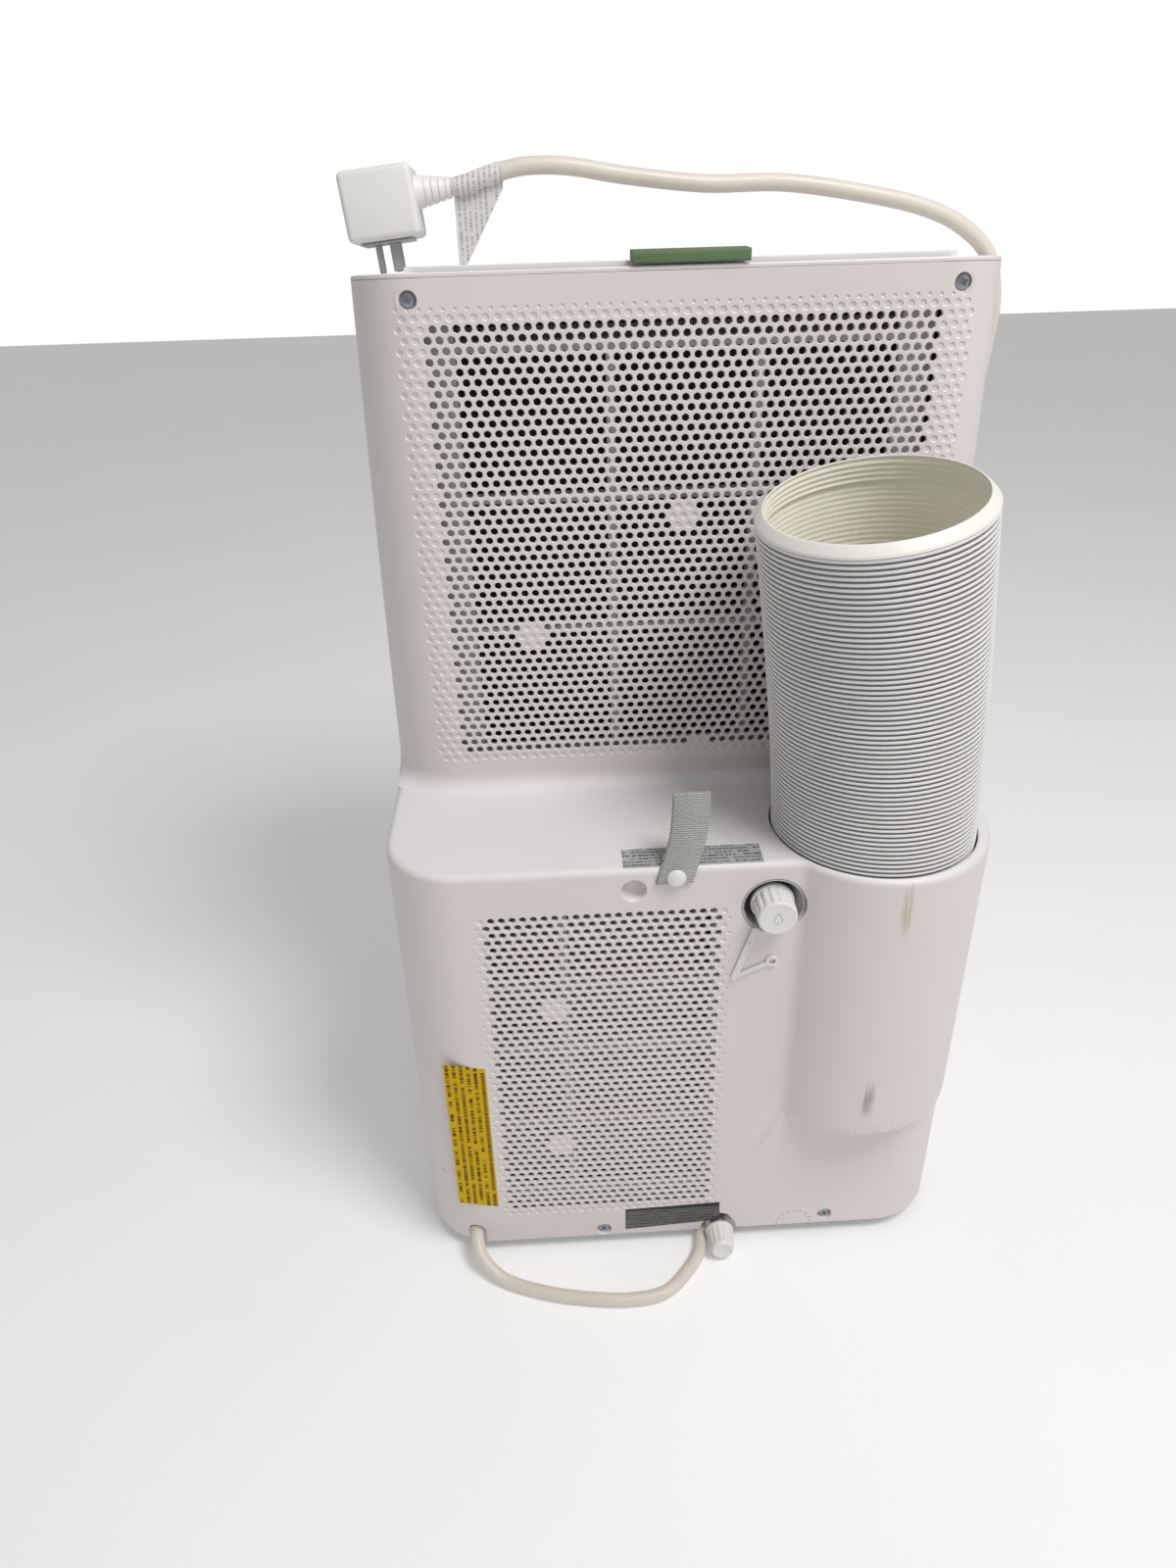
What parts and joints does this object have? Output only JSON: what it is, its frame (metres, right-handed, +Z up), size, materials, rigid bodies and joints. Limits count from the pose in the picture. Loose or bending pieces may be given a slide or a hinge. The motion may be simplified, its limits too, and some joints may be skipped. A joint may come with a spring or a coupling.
{
  "type": "portable air conditioner",
  "caption": "Upright portable air conditioner on casters: stepped rear with perforated intakes, pull-out corrugated exhaust hose, lift-out filter, drains and a power cord.",
  "frame": {"origin": "on the floor, under the middle of the casing's width and of its depth with the hose", "axes": "+Z up; -Y is the front with the air outlet at the top; +Y is the rear with the intakes, hose and drains; +X is the side away from the hose"},
  "size_m": [0.5362, 0.4831, 0.8725],
  "materials": {
    "white_plastic": "fine-grained moulded white plastic",
    "grey_plastic": "plain light grey moulding",
    "dark_plastic": "dark moulding",
    "display_film": "glossy dark window",
    "steel": "sheet steel",
    "zinc": "zinc-plated steel",
    "coil_fins": "fin pack",
    "cream_vinyl": "soft cream vinyl",
    "hose_plastic": "thin off-white plastic",
    "green_plastic": "sage green plastic, finely ribbed",
    "webbing": "grey-green woven strap",
    "tyre_rubber": "hard black rubber",
    "filter_screen": "fine black mesh",
    "tag_film": "thin white film",
    "red_plastic": "red plastic"
  },
  "bodies": {
    "housing": {"base_pan": "grey_plastic", "cap_tether": "white_plastic", "compressor": "steel", "condenser_coil": "coil_fins", "condenser_fan_motor": "steel", "control_panel": "grey_plastic", "cord_gland": "cream_vinyl", "cord_tag": "tag_film", "display_window": "display_film", "drain_tray": "grey_plastic", "evaporator_coil": "coil_fins", "evaporator_fan_motor": "steel", "exhaust_hose": "hose_plastic", "front_cover": "white_plastic", "grip_cup_left": "grey_plastic", "grip_cup_right": "grey_plastic", "hose_strap": "webbing", "hose_well": "grey_plastic", "lower_filter": "grey_plastic", "lower_intake_grille": "white_plastic", "lower_screw_left": "zinc", "lower_screw_right": "zinc", "outlet_frame": "grey_plastic", "plug_blades": "steel", "plug_body": "white_plastic", "power_cord": "cream_vinyl", "rear_cover": "white_plastic", "strap_rivet": "white_plastic", "top_cover": "white_plastic", "upper_drain_spout": "grey_plastic", "upper_intake_grille": "white_plastic", "upper_screw_left": "zinc", "upper_screw_right": "zinc"},
    "filter": {"upper_filter_frame": "grey_plastic", "upper_filter_mesh": "filter_screen", "filter_pull_tab": "green_plastic"},
    "cuff": {"hose_cuff": "hose_plastic"},
    "louver": {"louver_flap": "white_plastic"},
    "vane_1": {"outlet_vane_1": "grey_plastic"},
    "vane_2": {"outlet_vane_2": "grey_plastic"},
    "vane_3": {"outlet_vane_3": "grey_plastic"},
    "power_key": {"button_power": "white_plastic"},
    "mode_key": {"button_mode": "white_plastic"},
    "fan_key": {"button_fan_speed": "white_plastic"},
    "down_key": {"button_down": "white_plastic"},
    "up_key": {"button_up": "white_plastic"},
    "test_key": {"plug_test_button": "dark_plastic"},
    "reset_key": {"plug_reset_button": "red_plastic"},
    "upper_cap": {"upper_drain_cap": "white_plastic"},
    "lower_cap": {"lower_drain_cap": "white_plastic"},
    "condenser_fan": {"condenser_fan_wheel": "dark_plastic"},
    "evaporator_fan": {"evaporator_fan_wheel": "dark_plastic"},
    "swivel_1": {"caster_1_fork": "dark_plastic"},
    "roller_1": {"caster_1_wheel": "tyre_rubber"},
    "swivel_2": {"caster_2_fork": "dark_plastic"},
    "roller_2": {"caster_2_wheel": "tyre_rubber"},
    "swivel_3": {"caster_3_fork": "dark_plastic"},
    "roller_3": {"caster_3_wheel": "tyre_rubber"},
    "swivel_4": {"caster_4_fork": "dark_plastic"},
    "roller_4": {"caster_4_wheel": "tyre_rubber"}
  },
  "joints": [
    {"name": "filter_slide", "type": "slide", "parent": "housing", "child": "filter", "axis": [0, 0, 1], "range_m": [0, 0.34]},
    {"name": "hose_extend", "type": "slide", "parent": "housing", "child": "cuff", "axis": [0, 0, 1], "range_m": [0, 0.6], "deforming": ["exhaust_hose"]},
    {"name": "louver_hinge", "type": "hinge", "parent": "housing", "child": "louver", "pos_m": [0, -0.12494, 0.7896], "axis": [-1, 0, 0], "range_deg": [0, 75]},
    {"name": "vane_1_pivot", "type": "hinge", "parent": "housing", "child": "vane_1", "pos_m": [-0.085, -0.15841, 0.75686], "axis": [0, -0.0872, 0.9962], "range_deg": [-35, 35]},
    {"name": "vane_2_pivot", "type": "hinge", "parent": "housing", "child": "vane_2", "pos_m": [0, -0.15841, 0.75686], "axis": [0, -0.0872, 0.9962], "range_deg": [-35, 35]},
    {"name": "vane_3_pivot", "type": "hinge", "parent": "housing", "child": "vane_3", "pos_m": [0.085, -0.15841, 0.75686], "axis": [0, -0.0872, 0.9962], "range_deg": [-35, 35]},
    {"name": "power_press", "type": "slide", "parent": "housing", "child": "power_key", "axis": [0, 0.0872, -0.9962], "range_m": [0, 0.0012], "stiffness_N_per_m": 400, "springref_m": -0.0005},
    {"name": "mode_press", "type": "slide", "parent": "housing", "child": "mode_key", "axis": [0, 0.0872, -0.9962], "range_m": [0, 0.0012], "stiffness_N_per_m": 400, "springref_m": -0.0005},
    {"name": "fan_press", "type": "slide", "parent": "housing", "child": "fan_key", "axis": [0, 0.0872, -0.9962], "range_m": [0, 0.0012], "stiffness_N_per_m": 400, "springref_m": -0.0005},
    {"name": "down_press", "type": "slide", "parent": "housing", "child": "down_key", "axis": [0, 0.0872, -0.9962], "range_m": [0, 0.0012], "stiffness_N_per_m": 400, "springref_m": -0.0005},
    {"name": "up_press", "type": "slide", "parent": "housing", "child": "up_key", "axis": [0, 0.0872, -0.9962], "range_m": [0, 0.0012], "stiffness_N_per_m": 400, "springref_m": -0.0005},
    {"name": "test_press", "type": "slide", "parent": "housing", "child": "test_key", "axis": [-0.1041, 0.0872, -0.9907], "range_m": [0, 0.0012], "stiffness_N_per_m": 400, "springref_m": -0.0005},
    {"name": "reset_press", "type": "slide", "parent": "housing", "child": "reset_key", "axis": [-0.1041, 0.0872, -0.9907], "range_m": [0, 0.0012], "stiffness_N_per_m": 400, "springref_m": -0.0005},
    {"name": "upper_cap_turn", "type": "hinge", "parent": "housing", "child": "upper_cap", "pos_m": [-0.0585, 0.191, 0.379], "axis": [0, 1, 0], "continuous": true},
    {"name": "lower_cap_turn", "type": "hinge", "parent": "housing", "child": "lower_cap", "pos_m": [-0.03, 0.1935, 0.0155], "axis": [0, 1, 0], "continuous": true},
    {"name": "condenser_fan_spin", "type": "hinge", "parent": "housing", "child": "condenser_fan", "pos_m": [0.075, 0.055, 0.21], "axis": [0, 1, 0], "continuous": true},
    {"name": "evaporator_fan_spin", "type": "hinge", "parent": "housing", "child": "evaporator_fan", "pos_m": [0, -0.085, 0.59], "axis": [0, 1, 0], "continuous": true},
    {"name": "caster_1_swivel", "type": "hinge", "parent": "housing", "child": "swivel_1", "pos_m": [0.175, -0.16, 0.045], "axis": [0, 0, 1], "continuous": true},
    {"name": "caster_1_roll", "type": "hinge", "parent": "swivel_1", "child": "roller_1", "pos_m": [0.175, -0.169, 0.018], "axis": [1, 0, 0], "continuous": true},
    {"name": "caster_2_swivel", "type": "hinge", "parent": "housing", "child": "swivel_2", "pos_m": [-0.175, -0.16, 0.045], "axis": [0, 0, 1], "continuous": true},
    {"name": "caster_2_roll", "type": "hinge", "parent": "swivel_2", "child": "roller_2", "pos_m": [-0.175, -0.169, 0.018], "axis": [1, 0, 0], "continuous": true},
    {"name": "caster_3_swivel", "type": "hinge", "parent": "housing", "child": "swivel_3", "pos_m": [0.172, 0.118, 0.045], "axis": [0, 0, 1], "continuous": true},
    {"name": "caster_3_roll", "type": "hinge", "parent": "swivel_3", "child": "roller_3", "pos_m": [0.172, 0.109, 0.018], "axis": [1, 0, 0], "continuous": true},
    {"name": "caster_4_swivel", "type": "hinge", "parent": "housing", "child": "swivel_4", "pos_m": [-0.172, 0.118, 0.045], "axis": [0, 0, 1], "continuous": true},
    {"name": "caster_4_roll", "type": "hinge", "parent": "swivel_4", "child": "roller_4", "pos_m": [-0.172, 0.109, 0.018], "axis": [1, 0, 0], "continuous": true}
  ],
  "couplings": [
    {"joint": "vane_2_pivot", "follows": "vane_1_pivot", "ratio": 1},
    {"joint": "vane_3_pivot", "follows": "vane_1_pivot", "ratio": 1}
  ]
}
